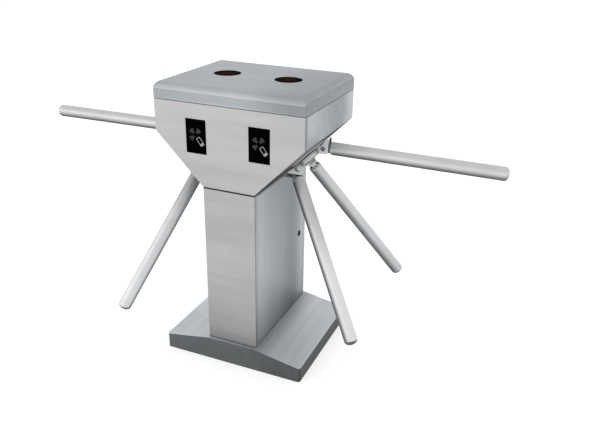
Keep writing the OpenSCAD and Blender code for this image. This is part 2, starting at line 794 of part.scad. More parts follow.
module frame_fasteners() color("gray") for (s = sides) at_hub(s) {
    ring_screw_places() {
        translate([0, 0, cover_ring_t - ring_screw_head_h]) difference() {
            cylinder(h = ring_screw_head_h, d = ring_screw_head_d);
            translate([0, 0, ring_screw_head_h / 2])
                cylinder(h = ring_screw_head_h, d = ring_screw_d, $fn = 6);
        }
        translate([0, 0, -sheet_t - frame_plate_t])
            cylinder(h = sheet_t + frame_plate_t + cover_ring_t - ring_screw_head_h, d = ring_screw_d);
    }
    for (x = [-1, 1], y = [-1, 1])
        translate([x * frame_post_x, y * frame_post_y, -carrier_depth - frame_plate_t - ring_screw_d])
            cylinder(h = ring_screw_d, d = frame_post_d, $fn = 6);
}

module solenoids() color("darkslategray") for (s = sides) at_hub(s)
    translate([plunger_x, solenoid_y, -carrier_depth - frame_plate_t])
        difference() {
            union() {
                translate([-solenoid_w / 2, 0, -solenoid_h]) cube([solenoid_w, solenoid_cap_t, solenoid_h]);
                translate([-solenoid_w / 2, solenoid_l - solenoid_cap_t, -solenoid_h])
                    cube([solenoid_w, solenoid_cap_t, solenoid_h]);
                translate([-solenoid_w / 2, 0, -solenoid_cap_t])
                    cube([solenoid_w, solenoid_l, solenoid_cap_t]);
                translate([0, solenoid_cap_t / 2, -plunger_axis_depth]) rotate([-90, 0, 0])
                    cylinder(h = solenoid_l - solenoid_cap_t, r = plunger_axis_depth - solenoid_cap_t / 2);
            }
            translate([0, solenoid_l - plunger_deep - cut_over, -plunger_axis_depth]) rotate([-90, 0, 0])
                cylinder(h = plunger_deep + 2 * cut_over, d = plunger_d + 2 * run_fit);
        }

module pawl_plunger(side) color("lightsteelblue") at_hub(side)
    translate([plunger_x, pawl_pivot_y - pawl_below - plunger_gap, -wheel_depth - lock_wheel_t / 2])
        rotate([90, 0, 0])
            cylinder(h = solenoid_gap - plunger_gap + plunger_deep - plunger_stroke_room, d = plunger_d);

module lock_pawl(side) color("goldenrod") at_hub(side)
    translate([0, 0, -wheel_depth - lock_wheel_t]) difference() {
        union() {
            translate([pawl_pivot_x, pawl_pivot_y - pawl_below, 0])
                cube([pawl_free_x - pawl_pivot_x, pawl_below + pawl_above, lock_wheel_t]);
            translate([pawl_pivot_x, pawl_pivot_y, 0]) cylinder(h = lock_wheel_t, d = pawl_eye_d);
            translate([-pawl_tooth_w / 2, pawl_pivot_y, 0])
                cube([pawl_tooth_w, -lock_wheel_d / 2 - pawl_rim_gap - pawl_pivot_y, lock_wheel_t]);
        }
        translate([pawl_pivot_x, pawl_pivot_y, -cut_over])
            cylinder(h = lock_wheel_t + 2 * cut_over, d = post_d + 2 * run_fit);
    }

// Spring lever whose roller drops into a notch to hold the hub in place
module index_lever(side) color("goldenrod") at_hub(side)
    translate([0, 0, -lever_depth - lever_t]) {
        difference() {
            union() {
                translate([lever_pivot_x, lever_pivot_y, 0]) cylinder(h = lever_t, d = lever_eye_d);
                translate([lever_pivot_x, lever_pivot_y, 0]) rotate([0, 0, lever_turn])
                    translate([0, -lever_w / 2, 0]) cube([lever_span, lever_w, lever_t]);
                translate([0, roller_y, 0]) cylinder(h = lever_t, d = lever_end_d);
                translate([0, roller_y, 0]) cylinder(h = lever_t + lever_gap + lock_wheel_t, d = post_d);
            }
            translate([lever_pivot_x, lever_pivot_y, -cut_over])
                cylinder(h = lever_t + 2 * cut_over, d = post_d + 2 * run_fit);
        }
        translate([0, roller_y, lever_t + lever_gap / 2]) difference() {
            cylinder(h = lock_wheel_t, r = roller_r);
            translate([0, 0, -cut_over]) cylinder(h = lock_wheel_t + 2 * cut_over, d = post_d + 2 * run_fit);
        }
    }

module index_springs() color("gray") for (s = sides) at_hub(s)
    translate([lever_pivot_x, lever_pivot_y, -spring_depth]) difference() {
        cylinder(h = spring_depth - carrier_depth - frame_plate_t, d = spring_d);
        translate([0, 0, -cut_over])
            cylinder(h = spring_depth, d = spring_d - 2 * spring_wall);
    }

module lock_wheel(side) color("darkgoldenrod") at_hub(side)
    translate([0, 0, -wheel_depth - lock_wheel_t]) difference() {
        union() {
            cylinder(h = lock_wheel_t, d = lock_wheel_d);
            translate([0, 0, -wheel_boss_h]) cylinder(h = wheel_boss_h, d = wheel_boss_d);
        }
        translate([0, 0, -wheel_boss_h - cut_over])
            cylinder(h = lock_wheel_t + wheel_boss_h + 2 * cut_over, d = shaft_d + 2 * run_fit);
        for (i = [0:notch_count - 1]) rotate([0, 0, 90 + rotor_turn(side) + i * 360 / notch_count])
            translate([lock_wheel_d / 2 - notch_deep, -notch_w / 2, -cut_over])
                cube([notch_deep + cut_over, notch_w, lock_wheel_t + 2 * cut_over]);
    }

module rotary_dampers() color("black") for (s = sides) at_hub(s) {
    difference() {
        union() {
            translate([-damper_post_x - damper_bridge_w / 2, -damper_bridge_w / 2, -damper_depth])
                cube([2 * damper_post_x + damper_bridge_w, damper_bridge_w, damper_bridge_t]);
            for (x = [-1, 1]) translate([x * damper_post_x, 0, -damper_bridge_depth])
                cylinder(h = damper_bridge_depth - carrier_depth - frame_plate_t, d = post_d);
            translate([0, 0, -damper_depth - damper_l]) cylinder(h = damper_l, d = damper_d);
            translate([0, 0, -damper_depth - damper_l - damper_cap_h])
                cylinder(h = damper_cap_h, d = damper_cap_d);
        }
        translate([0, 0, -shaft_end - cut_over])
            cylinder(h = shaft_end - damper_bridge_depth + 2 * cut_over, d = shaft_d + 2 * run_fit);
    }
}

// Forked sensors that straddle the rim of the lock wheel
module position_sensors() color("black") for (s = sides) at_hub(s) rotate([0, 0, sensor_turn])
    translate([lock_wheel_d / 2 - sensor_reach, -sensor_w / 2, -lever_depth - sensor_wall])
        difference() {
            cube([sensor_l, sensor_w, lever_depth + sensor_wall - carrier_depth - frame_plate_t]);
            translate([-cut_over, -cut_over, sensor_wall])
                cube([sensor_reach + lever_gap + cut_over, sensor_w + 2 * cut_over, sensor_slot]);
        }

// Hub: a drum with a fork for each arm
module fork_cheek_profile() {
    intersection() {
        translate([pivot_radius, pivot_standoff]) rotate(45) union() {
            translate([-cheek_in, -cheek_up])
                square([cheek_in + cheek_out, cheek_up + cheek_down - cheek_corner_r]);
            translate([-cheek_in + cheek_corner_r, 0])
                square([cheek_in + cheek_out - 2 * cheek_corner_r, cheek_down]);
            for (x = [-cheek_in + cheek_corner_r, cheek_out - cheek_corner_r])
                translate([x, cheek_down - cheek_corner_r]) circle(cheek_corner_r);
        }
        translate([0, fork_back]) square([pivot_radius + cheek_up, pivot_standoff + cheek_up]);
    }
    // Web that carries the cheek on the drum
    translate([pivot_radius - web_reach, fork_back]) square([web_reach, web_top - fork_back]);
}

module at_fork(side, k) {
    rotate([0, 0, k * arm_step + rotor_turn(side)]) children();
}

module hub(side) color("darkgray") at_hub(side) difference() {
    union() {
        translate([0, 0, drum_back]) cylinder(h = drum_front - drum_back, d = hub_drum_d);
        translate([0, 0, hub_neck_back]) cylinder(h = drum_back - hub_neck_back + cut_over, d = hub_neck_d);
        for (k = [0:arm_count - 1]) at_fork(side, k) along_y(2 * (slot_half + cheek_t)) fork_cheek_profile();
    }
    translate([0, 0, hub_neck_back - cut_over])
        cylinder(h = drum_front - hub_neck_back + 2 * cut_over, d = shaft_d + 2 * run_fit);
    for (k = [0:arm_count - 1]) at_fork(side, k) {
        // Slot for the arm's tongue, and the bore and socket of its pivot pin
        translate([pivot_radius - slot_reach, -slot_half, drum_back - cut_over])
            cube([slot_reach + cheek_up, 2 * slot_half, pivot_standoff + cheek_up]);
        translate([pivot_radius, 0, pivot_standoff]) rotate([-90, 0, 0]) {
            cylinder(h = 2 * (slot_half + cheek_t + cut_over), d = pivot_d + 2 * run_fit, center = true);
            translate([0, 0, slot_half + cheek_t - pin_socket_deep])
                cylinder(h = pin_socket_deep + cut_over, d = pin_socket_d);
        }
    }
}

module pivot_pins(side) color("gainsboro") at_hub(side)
    for (k = [0:arm_count - 1]) at_fork(side, k)
        translate([pivot_radius, 0, pivot_standoff]) rotate([90, 0, 0]) difference() {
            union() {
                translate([0, 0, -slot_half - cheek_t + pin_socket_deep])
                    cylinder(h = 2 * (slot_half + cheek_t) - pin_socket_deep, d = pivot_d);
                translate([0, 0, slot_half + cheek_t]) cylinder(h = pin_head_h, d = pin_head_d);
            }
            translate([0, 0, -slot_half - cheek_t + pin_socket_deep - cut_over])
                cylinder(h = pin_socket_deep + cut_over, d = pin_key_d, $fn = 6);
        }

module hub_shaft(side) color("lightsteelblue") at_hub(side) {
    translate([0, 0, -shaft_end]) cylinder(h = shaft_end + drum_front + washer_t, d = shaft_d);
    translate([0, 0, drum_front]) cylinder(h = washer_t, d = washer_d);
    translate([0, 0, drum_front + washer_t]) cylinder(h = nut_h, d = nut_d, $fn = 6);
}

// Places its children at an arm pivot: local X points along the arm, which folds towards the hub axis
module at_arm(side, k, fold) {
    at_hub(side) at_fork(side, k) translate([pivot_radius, 0, pivot_standoff])
        rotate([0, -barrier_cone - fold, 0]) children();
}

module arm_root(side, k, fold) color("darkgray") at_arm(side, k, fold) difference() {
    union() {
        rotate([90, 0, 0]) translate([0, 0, -tongue_t / 2]) cylinder(h = tongue_t, r = tongue_r);
        translate([0, -tongue_t / 2, -tongue_r]) cube([root_face + cut_over, tongue_t, 2 * tongue_r]);
        rotate([0, 90, 0]) rotate_extrude() polygon([
            [0, root_face], [root_neck_d / 2, root_face], [arm_d / 2, root_face + root_cone_l],
            [arm_d / 2, root_end], [arm_d / 2 - arm_wall - spigot_gap, root_end],
            [arm_d / 2 - arm_wall - spigot_gap, spigot_end], [0, spigot_end]]);
    }
    rotate([90, 0, 0]) cylinder(h = tongue_t + 2 * cut_over, d = pivot_d + 2 * run_fit, center = true);
}

module arm_tube(side, k, fold) color("gainsboro") at_arm(side, k, fold) rotate([0, 90, 0]) difference() {
    union() {
        translate([0, 0, root_end]) cylinder(h = arm_reach - tip_dome_h - root_end, d = arm_d);
        intersection() {
            translate([0, 0, arm_reach - tip_dome_r]) sphere(tip_dome_r);
            translate([0, 0, arm_reach - tip_dome_h - cut_over])
                cylinder(h = tip_dome_h + 2 * cut_over, r = arm_d / 2 - tip_shoulder);
        }
    }
    translate([0, 0, root_end - cut_over])
        cylinder(h = arm_reach - tip_dome_h - tip_wall - root_end + cut_over, d = arm_d - 2 * arm_wall);
}

base_plate();
plinth_cover();
column_shell();
head_shell();
service_panel();
lock_barrel();
reader_window(left);  // reader_window_left
reader_window(right);  // reader_window_right
reader_modules();
mechanism_frame(right);  // mechanism_frame_right
mechanism_frame(left);  // mechanism_frame_left
bearing_housing(right);  // bearing_housing_right
bearing_housing(left);  // bearing_housing_left
shaft_bearings();
cover_rings();
solenoids();
rotary_dampers();
position_sensors();
index_springs();
control_board();
power_supply();
cable_gland();
frame_fasteners();
lid_hinge_fixed_leaves();
lid_shell();
indicator_lens(left);  // indicator_lens_left
indicator_lens(right);  // indicator_lens_right
light_boards();
lid_hinge_moving_leaves();
latch_bolt();
latch_guides();
lock_plug();
lock_cam();
hub(right);  // hub_right
hub(left);  // hub_left
hub_shaft(right);  // hub_shaft_right
hub_shaft(left);  // hub_shaft_left
lock_wheel(right);  // lock_wheel_right
lock_wheel(left);  // lock_wheel_left
pivot_pins(right);  // pivot_pins_right
pivot_pins(left);  // pivot_pins_left
arm_tube(right, 0, 0);  // arm_tube_right_1
arm_tube(right, 1, hang_angle);  // arm_tube_right_2
arm_tube(right, 2, hang_angle);  // arm_tube_right_3
arm_tube(left, 0, 0);  // arm_tube_left_1
arm_tube(left, 1, 0);  // arm_tube_left_2
arm_tube(left, 2, 0);  // arm_tube_left_3
arm_root(right, 0, 0);  // arm_root_right_1
arm_root(right, 1, hang_angle);  // arm_root_right_2
arm_root(right, 2, hang_angle);  // arm_root_right_3
arm_root(left, 0, 0);  // arm_root_left_1
arm_root(left, 1, 0);  // arm_root_left_2
arm_root(left, 2, 0);  // arm_root_left_3
lock_pawl(right);  // lock_pawl_right
lock_pawl(left);  // lock_pawl_left
pawl_plunger(right);  // pawl_plunger_right
pawl_plunger(left);  // pawl_plunger_left
index_lever(right);  // index_lever_right
index_lever(left);  // index_lever_left
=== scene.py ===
"""Looks for the twin tripod turnstile: brushed steel, black card windows, smoked lenses, studio light."""

import json
import math

import bmesh
import bpy
from mathutils import Matrix, Vector


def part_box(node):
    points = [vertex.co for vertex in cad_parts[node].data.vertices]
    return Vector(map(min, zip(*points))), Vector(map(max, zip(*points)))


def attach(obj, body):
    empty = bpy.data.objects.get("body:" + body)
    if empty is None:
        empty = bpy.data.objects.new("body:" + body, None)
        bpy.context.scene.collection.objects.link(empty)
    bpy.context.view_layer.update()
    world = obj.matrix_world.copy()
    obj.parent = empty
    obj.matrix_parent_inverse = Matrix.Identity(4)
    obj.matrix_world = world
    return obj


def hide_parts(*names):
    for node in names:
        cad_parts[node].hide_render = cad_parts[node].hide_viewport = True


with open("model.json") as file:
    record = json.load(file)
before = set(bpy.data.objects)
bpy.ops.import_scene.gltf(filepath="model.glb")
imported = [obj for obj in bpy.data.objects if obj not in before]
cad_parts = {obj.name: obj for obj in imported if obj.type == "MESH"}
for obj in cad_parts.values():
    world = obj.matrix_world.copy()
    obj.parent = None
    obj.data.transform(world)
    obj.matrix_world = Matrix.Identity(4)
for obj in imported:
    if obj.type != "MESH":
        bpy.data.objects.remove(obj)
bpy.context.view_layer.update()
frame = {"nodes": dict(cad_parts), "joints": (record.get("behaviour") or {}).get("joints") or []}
NODES = frame["nodes"]

# Camera, from the photograph's edges
CAMERA_AZIMUTH = 22.52
CAMERA_ELEVATION = 24.19
CAMERA_ROLL = 1.25
CAMERA_DISTANCE = 2.29206
CAMERA_TARGET = Vector((0.16369, 0.0, 0.49218))
CAMERA_LENS = 39.65
SENSOR_WIDTH = 36.0


def add_camera():
    az, el, roll = (math.radians(v) for v in (CAMERA_AZIMUTH, CAMERA_ELEVATION, CAMERA_ROLL))
    back = Vector((math.sin(az) * math.cos(el), -math.cos(az) * math.cos(el), math.sin(el)))
    right = Vector((math.cos(az), math.sin(az), 0.0))
    up = back.cross(right)
    r = right * math.cos(roll) + up * math.sin(roll)
    u = up * math.cos(roll) - right * math.sin(roll)
    turn = Matrix((r, u, back)).transposed().to_4x4()
    data = bpy.data.cameras.new("camera")
    data.lens = CAMERA_LENS
    data.sensor_width = SENSOR_WIDTH
    data.sensor_fit = "HORIZONTAL"
    camera = bpy.data.objects.new("camera", data)
    camera.matrix_world = Matrix.Translation(CAMERA_TARGET + back * CAMERA_DISTANCE) @ turn
    bpy.context.scene.collection.objects.link(camera)
    bpy.context.scene.camera = camera


BUMP_STRENGTH = 0.2


class Nodes:
    """A material's node tree, with short calls for the nodes that the finishes share."""

    def __init__(self, name):
        self.material = bpy.data.materials.new(name)
        self.material.use_nodes = True
        self.tree = self.material.node_tree
        self.shader = self.tree.nodes["Principled BSDF"]
        self.source = None

    def add(self, kind, **values):
        node = self.tree.nodes.new(kind)
        for key, value in values.items():
            if hasattr(node, key):
                setattr(node, key, value)
            else:
                node.inputs[key.replace("_", " ")].default_value = value
        return node

    def link(self, a, b):
        self.tree.links.new(a, b)

    def feed(self, socket, value):
        """Gives a socket a fixed value, or links it to another node's socket."""
        if isinstance(value, (int, float, tuple)):
            socket.default_value = value
        else:
            self.link(value, socket)

    def set(self, **values):
        for key, value in values.items():
            self.shader.inputs[key.replace("_", " ")].default_value = value

    def place(self):
        """Places in the row frame, in metres."""
        if self.source is None:
            self.source = self.add("ShaderNodeTexCoord").outputs["Object"]
        return self.source

    def coordinates(self, scale, shift=(0.0, 0.0, 0.0)):
        """Places moved by shift and stretched by one scale, or by one for each axis."""
        mapping = self.add("ShaderNodeMapping")
        mapping.inputs["Scale"].default_value = scale if isinstance(scale, tuple) else (scale, scale, scale)
        mapping.inputs["Location"].default_value = shift
        self.link(self.place(), mapping.inputs["Vector"])
        return mapping.outputs["Vector"]

    def axes(self, vector):
        """The X, Y and Z of a vector."""
        parts = self.add("ShaderNodeSeparateXYZ")
        self.link(vector, parts.inputs["Vector"])
        return parts.outputs["X"], parts.outputs["Y"], parts.outputs["Z"]

    def normal(self):
        return self.add("ShaderNodeNewGeometry").outputs["Normal"]

    def facing(self):
        """The X, Y and Z of the surface's normal."""
        return self.axes(self.normal())

    def sideways(self, start=0.5):
        """1 on the faces that look along X, 0 where the normal's X is less than start."""
        return self.span(self.math("ABSOLUTE", self.facing()[0]), 0.0, 1.0, start, 0.9)

    def noise(self, vector, detail=4.0, roughness=0.6):
        node = self.add("ShaderNodeTexNoise", Scale=1.0, Detail=detail, Roughness=roughness)
        self.link(vector, node.inputs["Vector"])
        return node.outputs["Fac"]

    def span(self, value, low, high, from_low=0.3, from_high=0.7, soft=False):
        """Maps value from one span to another, held at the ends. Noise mostly keeps between 0.3 and 0.7."""
        node = self.add("ShaderNodeMapRange", From_Min=from_low, From_Max=from_high, To_Min=low, To_Max=high)
        if soft:
            node.interpolation_type = "SMOOTHSTEP"
        self.link(value, node.inputs["Value"])
        return node.outputs["Result"]

    def curve(self, value, low, high, stops):
        """A smooth curve over value, near stops of (share, strength)."""
        peak = max(strength for _, strength in stops)
        ramp = self.add("ShaderNodeValToRGB")
        band = ramp.color_ramp
        band.interpolation = "B_SPLINE"
        while len(band.elements) < len(stops):
            band.elements.new(0.5)
        for element, (share, strength) in zip(band.elements, stops):
            element.position = share
            element.color = (strength / peak, strength / peak, strength / peak, 1.0)
        self.link(self.span(value, 0.0, 1.0, low, high), ramp.inputs["Fac"])
        return self.product(ramp.outputs["Color"], peak)

    def math(self, operation, a, b=0.0):
        node = self.add("ShaderNodeMath", operation=operation)
        self.feed(node.inputs[0], a)
        self.feed(node.inputs[1], b)
        return node.outputs["Value"]

    def product(self, value, *factors):
        for factor in factors:
            value = self.math("MULTIPLY", value, factor)
        return value

    def total(self, value, *terms):
        for term in terms:
            value = self.math("ADD", value, term)
        return value

    def mix(self, factor, a, b):
        """Between numbers or grey sockets a and b."""
        node = self.add("ShaderNodeMix")
        self.feed(node.inputs["Factor"], factor)
        self.feed(node.inputs["A"], a)
        self.feed(node.inputs["B"], b)
        return node.outputs["Result"]

    def blend(self, factor, a, b):
        """A tint that is a where factor is 0 and b where it is 1."""
        node = self.add("ShaderNodeVectorMath", operation="MULTIPLY_ADD")
        self.link(factor, node.inputs[0])
        node.inputs[1].default_value = tuple(y - x for x, y in zip(a, b))
        node.inputs[2].default_value = a
        return node.outputs["Vector"]

    def grey(self, value, tint=(1.0, 1.0, 1.0)):
        """A colour whose brightness is value, tinted."""
        node = self.add("ShaderNodeVectorMath", operation="SCALE")
        self.feed(node.inputs["Vector"], tint)
        self.link(value, node.inputs["Scale"])
        return node.outputs["Vector"]

    def bump(self, height, distance):
        node = self.add("ShaderNodeBump", Strength=BUMP_STRENGTH, Distance=distance)
        self.link(height, node.inputs["Height"])
        self.link(node.outputs["Normal"], self.shader.inputs["Normal"])


# Radius in metres of the lighter edges, worn on the plain parts and a painted highlight on the steel, and how far the
# bevelled normal agrees with the true one where they are full and where they end
WEAR_AND_HIGHLIGHT_R = 0.0012
WEAR_AND_HIGHLIGHT_SPAN = (0.82, 0.99)
# How far in metres a corner or gap casts painted shade on the steel round it, and how open it is where that shade is
# darkest and where it ends
CREVICE_REACH = 0.03
CREVICE_SPAN = (0.35, 0.7)
SHADE_SAMPLES = 4


def edge_wear_and_highlight(n):
    """A factor near 1 along sharp edges, from the bevelled normal against the true one, for wear and painted
    highlight.
    """
    bevel = n.add("ShaderNodeBevel", samples=SHADE_SAMPLES, Radius=WEAR_AND_HIGHLIGHT_R)
    dot = n.add("ShaderNodeVectorMath", operation="DOT_PRODUCT")
    n.link(bevel.outputs["Normal"], dot.inputs[0])
    n.link(n.normal(), dot.inputs[1])
    return n.span(dot.outputs["Value"], 1.0, 0.0, *WEAR_AND_HIGHLIGHT_SPAN)


def shade_crevices(n, value, dark):
    """Painted shade, darker in corners, sockets and gaps."""
    hidden = n.add("ShaderNodeAmbientOcclusion", samples=SHADE_SAMPLES, Distance=CREVICE_REACH)
    return n.product(value, n.span(hidden.outputs["AO"], dark, 1.0, *CREVICE_SPAN))


STEEL_IOR = 1.25
# Strength of the painted highlight along the steel's sharp edges
STEEL_EDGE_HIGHLIGHT = 0.05
# How much its strength and roughness vary with the clouds, and its roughness with the scratches
STEEL_CLOUDS = 0.02
STEEL_GLOSS = 0.04
# Added to the roughness of undersides
UNDERSIDE_ROUGHNESS = 0.4


def brushed(name, grain, colour, roughness=0.4, tint=(1.0, 1.0, 1.0), side_light_tint=None, metallic=0.4, dark=0.3,
            reach=(-0.8, -0.2), depth=0.0001, streak=0.02, paint=None, crevice_shade=None):
    """Brushed stainless steel. grain is how stretched the scratches are along X, Y and Z.

    Undersides get painted shade, dark being the strength left there, and are rougher and less metallic: reach is the
    normal's Z where that shade is fullest and where it ends. The side tint goes on the faces that look along X as a
    painted cool reflection, and the last argument is the strength that painted shade leaves in hollows, gaps and
    corners.
    """
    n = Nodes(name)
    fine = n.noise(n.coordinates(grain), 5.0, 0.7)
    coarse = n.noise(n.coordinates(tuple(math.sqrt(g) for g in grain)), 2.0, 0.5)
    cloud = n.noise(n.coordinates(5.0), 3.0, 0.5)
    # The steel's tone from scratches and clouds, with a painted highlight along its sharp edges
    value = n.total(n.span(fine, -streak, streak), n.span(coarse, -streak, streak),
                    n.span(cloud, colour - STEEL_CLOUDS, colour + STEEL_CLOUDS), n.product(edge_wear_and_highlight(n), STEEL_EDGE_HIGHLIGHT))
    # Painted shade on undersides
    upper = n.span(n.facing()[2], 0.0, 1.0, *reach, soft=True)
    value = n.product(value, n.mix(upper, dark, 1.0))
    # Painted shade in hollows, gaps and corners
    if crevice_shade is not None:
        value = shade_crevices(n, value, crevice_shade)
    if paint:
        value = paint(n, value)
    # A painted cool reflection on the faces that look along X
    if side_light_tint:
        tint = n.blend(n.sideways(0.3), tint, side_light_tint)
    n.link(n.grey(value, tint), n.shader.inputs["Base Color"])
    rough = n.total(n.span(fine, roughness - STEEL_GLOSS, roughness + STEEL_GLOSS),
                    n.span(cloud, -STEEL_CLOUDS, STEEL_CLOUDS), n.mix(upper, UNDERSIDE_ROUGHNESS, 0.0))
    n.link(rough, n.shader.inputs["Roughness"])
    n.link(n.mix(upper, 0.0, metallic), n.shader.inputs["Metallic"])
    n.set(IOR=STEEL_IOR)
    n.bump(fine, depth)
    return n.material


# Painted light and shade in soft bands that run up the steel's sides, as (share, strength) from the front edge to the
# back edge
HEAD_LIGHT_BANDS = ((0.0, 1.0), (0.12, 1.04), (0.3, 0.84), (0.5, 0.66), (0.74, 0.57), (0.88, 1.06), (1.0, 1.06))
COLUMN_LIGHT_BANDS = ((0.0, 1.0), (0.11, 1.12), (0.28, 0.82), (0.5, 0.74), (0.76, 0.41), (0.9, 1.02), (1.0, 1.08))
BAND_REACH = 0.213
# Width and strength of the painted shade line behind the front fold
FOLD_WIDTH = 0.006
FOLD_DARK = 0.5


def side_light_bands(n, value, bands):
    """Paints the light and shade bands, and a painted shade line behind the front fold, on the faces that look along
    X only.
    """
    depth = n.axes(n.place())[1]
    fold = n.span(depth, FOLD_DARK, 1.0, FOLD_WIDTH - BAND_REACH, 2 * FOLD_WIDTH - BAND_REACH)
    bands = n.product(fold, n.curve(depth, -BAND_REACH, BAND_REACH, bands))
    return n.product(value, n.mix(n.sideways(), 1.0, bands))


# Heights, in metres, of the joint between head and column, with a painted shadow line under the head, and of the
# column's foot, darkened by painted shade, with a painted shade line where it meets the plinth
JOINT_Z = 0.656
JOINT_H = 0.006
JOINT_DARK = 0.06
FOOT_Z = 0.084
FOOT_TOP_Z = 0.40
FOOT_SHADES = ((0.0, 0.55), (0.18, 0.66), (0.5, 0.89), (1.0, 1.0))
FOOT_LINE_H = 0.003
FOOT_LINE_DARK = 0.3
# Over how much height a painted line fades out
LINE_FADE = 0.001


def column_paint(n, value):
    """Steel with painted shade that darkens it to its foot, and painted shadow lines where it meets the head and the
    plinth.
    """
    height = n.axes(n.place())[2]
    foot = n.curve(height, FOOT_Z, FOOT_TOP_Z, FOOT_SHADES)
    joint = n.span(height, 1.0, JOINT_DARK, JOINT_Z - JOINT_H - LINE_FADE, JOINT_Z - JOINT_H)
    line = n.span(height, FOOT_LINE_DARK, 1.0, FOOT_Z + FOOT_LINE_H - LINE_FADE, FOOT_Z + FOOT_LINE_H)
    return n.product(side_light_bands(n, value, COLUMN_LIGHT_BANDS), foot, joint, line)


# Heights of the crease in the lid's front and side skirts, with a painted shade line under it, and of the painted
# highlight line along its lower edge
CREASE_Z = 0.957
SIDE_CREASE_Z = 0.964
CREASE_H = 0.004
CREASE_DARK = 0.09
EDGE_Z = 0.9315
EDGE_LIGHT = 0.12
# Painted light and shade of the lid's front below and above the crease, from left to right, of its sides above it and
# of its top, which darkens to the right
LID_REACH = 0.22
SKIRT_SHADES = ((0.0, 0.96), (0.25, 1.1), (0.45, 1.12), (0.65, 1.14), (0.85, 0.89), (1.0, 0.76))
ROLL_SHADES = ((0.0, 1.22), (0.35, 1.34), (0.6, 1.42), (0.85, 1.22), (1.0, 1.13))
SIDE_ROLL = 1.42
TOP_RIGHT = 0.8
TOP_RIGHT_X = 0.24
# The normal's Y where a face is a front and where it is a side, and its Z at which the painted highlight over the
# crease has faded into the top
FRONT_FACING = (-0.6, -0.2)
ROLL_FADE = 0.96


def lid_paint(n, value):
    """Painted light and shade: skirts with a shade line at the crease and a highlight over it that fades into the
    top, all darker to the right.
    """
    x, _, z = n.axes(n.place())
    _, ahead, up = n.facing()
    front = n.span(ahead, 1.0, 0.0, *FRONT_FACING)
    top = n.span(x, 1.0, TOP_RIGHT, 0.0, TOP_RIGHT_X, soft=True)
    skirt = n.mix(front, top, n.curve(x, -LID_REACH, LID_REACH, SKIRT_SHADES))
    roll = n.mix(front, n.product(top, SIDE_ROLL), n.curve(x, -LID_REACH, LID_REACH, ROLL_SHADES))
    height = n.math("SUBTRACT", z, n.mix(front, SIDE_CREASE_Z, CREASE_Z))
    line = n.span(height, 0.0, CREASE_DARK, -CREASE_H, -CREASE_H / 2)
    edge = n.span(z, EDGE_LIGHT, 0.0, EDGE_Z, EDGE_Z + LINE_FADE)
    skirt = n.product(skirt, n.math("SUBTRACT", n.total(edge, 1.0), line))
    upright = n.mix(n.span(height, 0.0, 1.0, -LINE_FADE, LINE_FADE), skirt, roll)
    return n.product(value, n.mix(n.span(up, 0.0, 1.0, 0.0, ROLL_FADE), upright, top))


# Painted shade darkens the head's front low down. Its slopes have these painted strengths of shade and light behind
# the front fold, low down and high up, which fade out over the given depths.
HEAD_FOOT = 0.92
HEAD_FOOT_Z = (0.7, 0.8)
SLOPE_SHADES = (0.02, 2.2)
SLOPE_Z = (0.7, 0.745)
SLOPE_Y = (-0.18, -0.02)
# The normal's Z where a face is a slope and where it isn't
SLOPE_FACING = (-0.6, -0.3)


def head_paint(n, value):
    """Painted light and shade bands on the sides, and painted shade and light on the slopes behind the low ends of
    their front folds.
    """
    _, depth, height = n.axes(n.place())
    fold = n.span(height, *SLOPE_SHADES, *SLOPE_Z, soft=True)
    behind = n.mix(n.span(depth, 0.0, 1.0, *SLOPE_Y, soft=True), fold, 1.0)
    slope = n.mix(n.span(n.facing()[2], 1.0, 0.0, *SLOPE_FACING), 1.0, behind)
    foot = n.span(height, HEAD_FOOT, 1.0, *HEAD_FOOT_Z, soft=True)
    return n.product(side_light_bands(n, value, HEAD_LIGHT_BANDS), slope, foot)


# Painted light and reflection on the plinth's top, from its left edge to its right: darkest beside the column's right
# side, which it mirrors
PLINTH_REACH = 0.263
WING_SHADES = ((0.0, 1.14), (0.16, 1.12), (0.325, 1.02), (0.5, 0.9), (0.675, 0.6), (0.74, 0.82), (0.81, 0.98),
               (1.0, 0.98))
# The same from its front to its back, and the painted shade strengths of its front, left and right, and of its sides
WING_DEPTH_SHADES = (0.92, 1.08)
WING_Y = (-0.2, 0.15)
PLINTH_FRONT = (0.235, 0.19)
PLINTH_FRONT_X = (0.0, 0.2)
PLINTH_SIDE = 0.077
# The normal's Z where a face is upright and where it is the top
TOP_FACING = (0.3, 0.8)


def plinth_paint(n, value):
    """Painted shade makes the upright faces of the plinth darker than its top, and its sides darker than its front.
    """
    x, y, _ = n.axes(n.place())
    front = n.span(x, *PLINTH_FRONT, *PLINTH_FRONT_X)
    top = n.product(n.curve(x, -PLINTH_REACH, PLINTH_REACH, WING_SHADES),
                    n.span(y, *WING_DEPTH_SHADES, *WING_Y, soft=True))
    upright = n.mix(n.sideways(), front, PLINTH_SIDE)
    return n.product(value, n.mix(n.span(n.facing()[2], 0.0, 1.0, *TOP_FACING), upright, top))


# Painted highlight round a level arm, by the normal's Z from -1 to 1
ARM_HIGHLIGHT_BAND = ((0.0, 1.0), (0.5, 1.0), (0.62, 1.3), (0.74, 1.0), (1.0, 0.96))


def arm_highlight_paint(n, value):
    """A painted highlight line along the upper front of a level arm."""
    return n.product(value, n.curve(n.facing()[2], -1.0, 1.0, ARM_HIGHLIGHT_BAND))


# Painted light and shade of three lower arms at rest, from their tips up to the head, over this height
HANG_Z = (0.15, 0.65)
FRONT_HANG = ((0.0, 1.16), (0.15, 1.06), (0.45, 1.07), (0.6, 1.08), (0.7, 1.0), (0.8, 0.84), (0.9, 0.74), (1.0, 0.76))
REAR_HANG = ((0.0, 0.84), (0.2, 0.84), (0.36, 1.0), (1.0, 1.04))
LEFT_HANG = ((0.0, 1.05), (0.6, 1.0), (0.78, 0.88), (0.9, 0.62), (1.0, 0.55))


